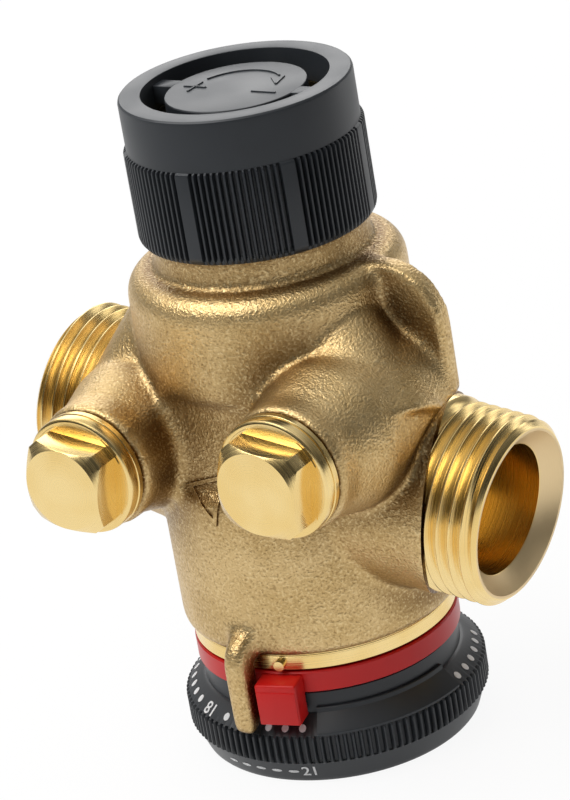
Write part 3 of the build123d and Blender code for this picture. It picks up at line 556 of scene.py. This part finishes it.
bpy.data.objects.remove(square_head)


# Knurled rings share this: a pattern of ridges is cut into chosen rings of vertices

def knurl(obj, low, high, keep, bottom_r, outer_r):
    """Pulls the vertices between two heights in by outer_r - bottom_r, except where keep(angle in degrees)
    is true."""
    only(obj)
    bpy.ops.object.mode_set(mode="EDIT")
    pick(obj, lambda p: (p[:, 2] > low) & (p[:, 2] < high) & (np.hypot(p[:, 0], p[:, 1]) > outer_r - 0.3)
         & ~keep(np.degrees(np.arctan2(p[:, 1], p[:, 0]))))
    bpy.ops.transform.resize(value=(bottom_r / outer_r, bottom_r / outer_r, 1), center_override=(0, 0, 0))
    rest()


# Protection cap: seven plain stripes, fifteen grooves between two of them, and ten segments to a pitch
STRIPES, GROOVES = 7, 15
PITCHES = STRIPES * (GROOVES + 2)
SUB = 10
STEP = 360 / PITCHES
# Segments from the +X direction back to a stripe, and where a stripe ends, in pitches
CAP_PHASE = 116
STRIPE_END = 0.9
# A groove is cut in two steps: how far each reaches from the middle, in pitches, and its share of the depth
CAP_GROOVE = 0.6
CAP_CUTS = ((0.34, 0.4), (0.24, 1.0))
cap = turned("cap_shell", [(15.15, 76.0), (15.5, 76.02), (15.95, 76.25), (16.28, 76.7), (CAP_R, 77.2),
                           (CAP_R, 77.3), (CAP_R, 88.75), (16.3, 89.0), (15.97, 89.2), (15.95, 89.3),
                           (15.95, 95.75), (15.87, 96.05), (15.65, 96.27), (15.4, 96.3), (13.0, 96.3),
                           (12.85, 96.25), (12.8, 96.1), (12.8, 91.9), (15.1, 90.5), (15.1, 76.1),
                           (15.15, 76.0)], PITCHES * SUB, ring=True)


def cap_ridge(from_middle):
    """Says where the ridges and the plain stripes between the groups of grooves are kept: a groove reaches
    from_middle pitches to each side of its middle."""
    def keep(deg):
        pitch_no = ((deg + CAP_PHASE * STEP / SUB) % (360 / STRIPES)) / STEP
        on_stripe = (pitch_no < STRIPE_END) | (pitch_no > GROOVES + 2 - STRIPE_END)
        return on_stripe | (np.abs(pitch_no % 1.0 - 0.5) > from_middle)
    return keep


for from_middle, share in CAP_CUTS:
    for low, high, outer in ((77.25, 88.8, CAP_R), (76.5, 77.22, CAP_R), (88.9, 89.1, 16.3)):
        knurl(cap, low, high, cap_ridge(from_middle), outer - CAP_GROOVE * share, outer)
finish_piece(cap, "cap", ["cap"], ANTHRACITE, 28)
disc = turned("cap_disc", [(3.2, 92.6), (3.6, 92.8), (9.5, 92.8), (9.7, 93.0), (9.7, 95.2), (9.6, 95.36),
                           (9.42, CAP_DISC_TOP), (3.0, CAP_DISC_TOP)], 192)
bridge = block("bridge", 11.3, 94.1, 3.6, 2.6, 2.58, 0.15, 2)
for deg in (1.5, 181.5):
    cut(disc, place(copy_of(bridge), Matrix.Rotation(radians(deg), 4, "Z")), "UNION")
bpy.data.objects.remove(bridge)
finish_piece(disc, "cap", ["cap"], ANTHRACITE, 28)

# Signs on the disc: plus, minus and a turning arrow
SIGN_Z = CAP_DISC_TOP + 0.02
SIGN_TALL = 0.3
LINE = 0.42
ARC_R = 6.2


def raised_bar(name, x, y, long_mm, turn_deg=0.0):
    """A raised line on the cap's disc with sloping sides, turned from the X direction."""
    rest()
    bpy.ops.mesh.primitive_cube_add(size=1, location=(0, 0, SIGN_Z * MM),
                                    scale=(long_mm * MM, LINE * MM, SIGN_TALL * MM))
    bar = added(name)
    pick(bar, lambda p: p[:, 2] > SIGN_Z)
    bpy.ops.transform.resize(value=((long_mm - 0.2) / long_mm, (LINE - 0.2) / LINE, 1),
                             center_override=(0, 0, 0))
    rest()
    return place(bar, Matrix.Translation((x * MM, y * MM, 0)) @ Matrix.Rotation(radians(turn_deg), 4, "Z"))


cap_marks = [raised_bar("plus", -5.9, -1.1, 3.7), raised_bar("plus_upright", -5.9, -1.1, 3.7, 90),
             raised_bar("minus", 5.5, -1.45, 4.0), raised_bar("arrow_left", 4.46, 2.65, 3.1, -45.7),
             raised_bar("arrow_right", 5.2, 3.08, 3.1, -78.1)]
rest()
bpy.ops.mesh.primitive_plane_add(size=LINE * MM, location=(-ARC_R * MM, 0, SIGN_Z * MM),
                                 rotation=(pi / 2, 0, 0))
arc = added("arrow_arc")
bpy.ops.transform.resize(value=(1, 1, SIGN_TALL / LINE), center_override=(0, 0, SIGN_Z * MM))
pick(arc, lambda p: p[:, 2] > SIGN_Z)
bpy.ops.transform.resize(value=(0.5, 1, 1), center_override=(-ARC_R * MM, 0, 0))
bpy.ops.mesh.select_all(action="SELECT")
bpy.ops.mesh.spin(steps=36, angle=radians(112), center=(0, 0, 0), axis=(0, 0, 1))
bpy.ops.mesh.select_all(action="SELECT")
bpy.ops.mesh.fill_holes(sides=4)
bpy.ops.mesh.normals_make_consistent(inside=False)
rest()
cap_marks.append(place(arc, Matrix.Rotation(radians(-18), 4, "Z")))
rest()
for mark in cap_marks:
    mark.select_set(True)
bpy.context.view_layer.objects.active = cap_marks[0]
bpy.ops.object.join()
cap_signs = bpy.context.object
cap_signs.name = "cap_signs"
finish_piece(cap_signs, "cap", [], ANTHRACITE, 20)


# Setting wheel. Its rim and the two slopes beside it are grooved: height from and to, radius, depth
RIDGES = 120
WHEEL_BANDS = ((3.7, 7.6, WHEEL_R, 0.55), (3.6, 3.7, 21.45, 0.4), (7.65, 7.8, 21.45, 0.36))
WHEEL_CUTS = ((0.34, 0.35), (0.24, 1.0))
wheel = turned("setting_wheel", [(3.8, 0.05), (3.8, 3.9), (2.3, 3.95), (2.3, 9.55), (4.6, 9.6), (4.6, 6.0),
                                 (16.7, 6.0), (16.7, 13.1), (16.8, 13.2), (18.1, 13.2), (18.3, 13.0),
                                 (18.3, 10.0), (18.5, 9.92), (18.8, 9.85), (21.15, 7.85), (21.45, 7.72),
                                 (WHEEL_R, 7.5), (WHEEL_R, 3.8), (21.45, 3.62), (21.15, 3.5), (20.12, 0.72),
                                 (19.95, 0.3), (19.7, 0.02), (19.5, 0.0), (4.0, 0.0), (3.8, 0.05)],
               RIDGES * SUB, ring=True)


def wheel_ridge(from_middle):
    """Says where the rim's ridges are kept: a groove reaches from_middle pitches to each side of its
    middle."""
    return lambda deg: np.abs((deg / (360 / RIDGES)) % 1.0 - 0.5) > from_middle


for from_middle, share in WHEEL_CUTS:
    for low, high, outer, deep in WHEEL_BANDS:
        knurl(wheel, low, high, wheel_ridge(from_middle), outer - deep * share, outer)
finish_piece(wheel, "wheel", ["handwheel"], ANTHRACITE, 28)

# Raised sector of the cone that carries no marks, between two angles, with its step at the hub
BLANK = (-64.0, -2.0)
sector = turned("blank_sector", [(18.0, 9.6), (18.0, 10.75), (18.15, 10.9), (18.75, 10.9), (18.85, 10.8),
                                 (18.95, 10.25), (21.2, 8.28), (21.32, 8.1), (21.32, 7.75), (18.0, 9.6)],
                720, ring=True)
only(sector)
bpy.ops.object.mode_set(mode="EDIT")
for edge_deg, keep_left in zip(BLANK, (True, False)):
    across = (-sin(radians(edge_deg)), cos(radians(edge_deg)), 0)
    bpy.ops.mesh.select_all(action="SELECT")
    bpy.ops.mesh.bisect(plane_co=(0, 0, 0), plane_no=across, use_fill=True, clear_inner=keep_left,
                        clear_outer=not keep_left, threshold=1e-7)
bpy.ops.mesh.select_all(action="SELECT")
bpy.ops.mesh.normals_make_consistent(inside=False)
rest()
finish_piece(sector, "wheel", ["handwheel"], ANTHRACITE, 28)


# Collar under the casting
collar = turned("collar", [(18.0, 16.85), (18.45, 16.82), (18.72, 17.05), (18.72, 18.9), (18.6, 19.05),
                           (18.6, 19.5), (18.0, 19.5), (18.0, 16.85)], 192, ring=True)
finish_piece(collar, "root", [], TURNED)


# Lock ring and tab
ring = turned("red_ring", [(16.45, 13.4), (18.65, 13.4), (18.85, 13.55), (18.85, 16.4), (18.7, 16.6),
                           (16.45, 16.6), (16.45, 13.4)], 192, ring=True)
finish_piece(ring, "root", ["lock_ring"], RED)
tab = block("lock_tab", 20.6, 13.3, 3.4, 6.0, 6.2, 0.28, 3)
cut(tab, block("ledge", 20.72, 12.85, 3.4, 5.7, 5.0, 0.1, 2), "UNION")
place(tab, Matrix.Rotation(radians(TAB_DEG), 4, "Z"))
finish_piece(tab, "root", ["lock_ring"], RED)


# Printed scale on the wheel's cone and lower bevel

def wrap_on(obj, deg, mid_r, mid_z, rise, lift=0.03, flip=False):
    """Bends a flat mark (x along, y up, z out, in mm) onto a cone of the wheel at an angle about the spindle.
    rise is the angle of the cone's upward line above the outward direction."""
    co = points_of(obj)
    turn_sign = -1 if flip else 1
    x = co[:, 0] * turn_sign
    y = co[:, 1] * turn_sign
    z = co[:, 2] + lift
    r = mid_r + y * cos(rise) + z * sin(rise)
    height = mid_z + y * sin(rise) - z * cos(rise)
    angle = radians(deg) + x / mid_r
    out = np.stack([r * np.cos(angle), r * np.sin(angle), height], axis=1) * MM
    obj.data.vertices.foreach_set("co", out.ravel())
    obj.data.update()


def number(text, size, deg, *cone, flip=False):
    """A plain number printed on a cone of the wheel."""
    rest()
    bpy.ops.object.text_add(location=(0, 0, 0))
    obj = bpy.context.object
    obj.data.body = text
    obj.data.size = size * MM
    obj.data.align_x = "CENTER"
    obj.data.align_y = "CENTER"
    obj.data.extrude = 0.02 * MM
    obj.data.offset = 0.03 * MM
    bpy.ops.object.convert(target="MESH")
    wrap_on(obj, deg, *cone, flip=flip)
    return obj


rest()
bpy.ops.mesh.primitive_cylinder_add(vertices=20, radius=0.5 * MM, depth=0.06 * MM)
round_dot = added("dot")
rest()


def dot(long_mm, wide_mm, deg, *cone):
    """A printed dot or dash: the round dot copied, drawn out and laid on a cone of the wheel."""
    obj = copy_of(round_dot)
    only(obj)
    bpy.ops.object.mode_set(mode="EDIT")
    bpy.ops.mesh.select_all(action="SELECT")
    bpy.ops.transform.resize(value=(wide_mm, long_mm, 1), center_override=(0, 0, 0))
    rest()
    wrap_on(obj, deg, *cone)
    return obj


# Middle radius, middle height and slope of the wheel's cone and lower bevel, and the dots' angles
CONE = (20.25, 8.62, atan2(2.0, -2.35))
BEVEL = (20.6, 2.0, atan2(2.78, 1.03))
FIRST_DOT, DOT_STEP = -84.4, 7.2
NUMBER_DEG = -117.0
marks = []
for k in range(-17, 24):
    spot = (FIRST_DOT - DOT_STEP * k + 180) % 360 - 180
    on_blank = BLANK[0] - 2.0 < spot < BLANK[1] + 3.5
    if not on_blank and abs(spot - NUMBER_DEG) >= 5.0:
        marks.append(dot(1.2, 1.0, spot, *CONE))
marks.append(number("18", 2.7, NUMBER_DEG, *CONE, flip=True))
for deg in (-76.3, -83.5, -90.7, -97.9, -105.1):
    marks.append(dot(0.45, 1.6, deg, *BEVEL))
marks.append(number("21", 2.5, -69.5, *BEVEL))
bpy.data.objects.remove(round_dot)
rest()
for mark in marks:
    mark.select_set(True)
bpy.context.view_layer.objects.active = marks[0]
bpy.ops.object.join()
scale_print = bpy.context.object
scale_print.name = "scale_print"
finish_piece(scale_print, "wheel", [], PRINT)


# Floor, light and camera, all set out from the photo's fitted camera

AZ, EL, ROLL = radians(37.2), radians(23.02), radians(-9.84)
back = Vector((sin(AZ) * cos(EL), -cos(AZ) * cos(EL), sin(EL)))
right = Vector((cos(AZ), sin(AZ), 0))
up = back.cross(right)
side_dir = cos(ROLL) * right + sin(ROLL) * up
up_dir = -sin(ROLL) * right + cos(ROLL) * up
camera = bpy.data.objects.new("camera", bpy.data.cameras.new("camera"))
bpy.context.scene.collection.objects.link(camera)
camera.data.lens = 162.0
camera.data.sensor_width = 36.0
camera.data.clip_end = 20.0
camera_turn = Matrix((side_dir, up_dir, back)).transposed()
camera.matrix_world = Matrix.Translation(CAMERA_AT) @ camera_turn.to_4x4()
bpy.context.scene.camera = camera

rest()
bpy.ops.mesh.primitive_plane_add(size=6.0, location=(0, 0, 0))
floor = bpy.context.object
floor.name = "floor"
look = Look(bpy.data.materials.new("floor"))
# Share of the floor's own white that is seen over its lit grey, so that the shadow stays
FLOOR_GLOW = 0.92
path = look.tree.nodes.new("ShaderNodeLightPath")
seen = (Num(look, path.outputs["Is Camera Ray"]) + Num(look, path.outputs["Is Glossy Ray"])
        + Num(look, path.outputs["Is Transmission Ray"]))
look.set(Base_Color=(0.86, 0.86, 0.86), Roughness=0.9)
glow = look.node("ShaderNodeEmission", {"Color": (1, 1, 1), "Strength": 1.0})
both = look.tree.nodes.new("ShaderNodeMixShader")
look.put(both.inputs[0], seen * FLOOR_GLOW)
look.tree.links.new(look.shader.outputs[0], both.inputs[1])
look.tree.links.new(glow.socket, both.inputs[2])
look.tree.links.new(both.outputs[0], look.tree.nodes["Material Output"].inputs[0])
floor.data.materials.append(look.data)

world = bpy.data.worlds.new("studio")
bpy.context.scene.world = world
sky = Look(world)
background = sky.tree.nodes["Background"]
toward = sky.node("ShaderNodeNewGeometry", output="Incoming")
height = sky.node("ShaderNodeVectorMath", {0: toward, 1: tuple(-up_dir)}, output="Value",
                  operation="DOT_PRODUCT")
to_right = sky.node("ShaderNodeVectorMath", {0: toward, 1: tuple(-side_dir)}, output="Value",
                    operation="DOT_PRODUCT")
room = sky.ease(height, 0.05, 0.75, 0.05, 0.75) * sky.ease(to_right, 0.1, 0.8, 1.0, 0.2)
path = sky.tree.nodes.new("ShaderNodeLightPath")
camera_ray = Num(sky, path.outputs["Is Camera Ray"])
sky.put(background.inputs["Strength"], camera_ray + (1.0 - camera_ray) * room)
sky.put(background.inputs["Color"], (1.0, 1.0, 1.0))
MIDDLE = Vector((0, 0, 50)) * MM


def lamp(name, across, over, toward_camera, width, tall, watts):
    """A softbox placed by the camera's own right, up and near directions, aimed at the valve's middle."""
    away = side_dir * across + up_dir * over + back * toward_camera
    light = bpy.data.lights.new(name, "AREA")
    light.shape = "RECTANGLE"
    light.size = width
    light.size_y = tall
    light.energy = watts
    obj = bpy.data.objects.new(name, light)
    bpy.context.scene.collection.objects.link(obj)
    aim = away.to_track_quat("Z", "Y")
    obj.matrix_world = Matrix.Translation(MIDDLE + away) @ aim.to_matrix().to_4x4()


lamp("key", -0.40, 0.42, 0.30, 0.60, 0.50, 3.4)
lamp("edge", 0.55, 0.15, -0.25, 0.12, 0.60, 0.4)
lamp("top", -0.06, 0.50, -0.42, 0.60, 0.36, 1.5)

bpy.context.scene.view_settings.view_transform = "Standard"
